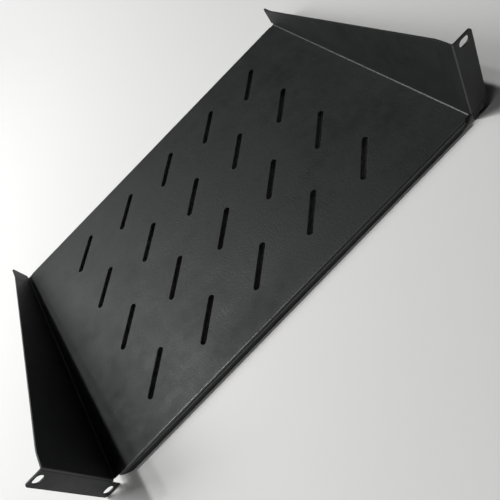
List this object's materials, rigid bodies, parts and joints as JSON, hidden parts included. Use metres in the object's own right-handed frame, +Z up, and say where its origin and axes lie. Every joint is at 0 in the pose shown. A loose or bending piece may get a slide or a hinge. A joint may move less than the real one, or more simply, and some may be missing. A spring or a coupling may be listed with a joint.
{
  "type": "cantilever rack shelf",
  "caption": "Folded sheet-steel shelf for a 19-inch rack: vented deck, tapering side flanges and slotted front ears, held at the front only.",
  "frame": {"origin": "centre of the four screw slots, on the rear faces of the ears, which bear on the rack rails", "axes": "+X to the right seen from the front, +Y to the rear of the rack, +Z up"},
  "size_m": [0.4826, 0.318, 0.088],
  "materials": {
    "powder_coat": "satin black powder coat"
  },
  "bodies": {
    "root": {"shelf": "powder_coat"}
  },
  "joints": []
}
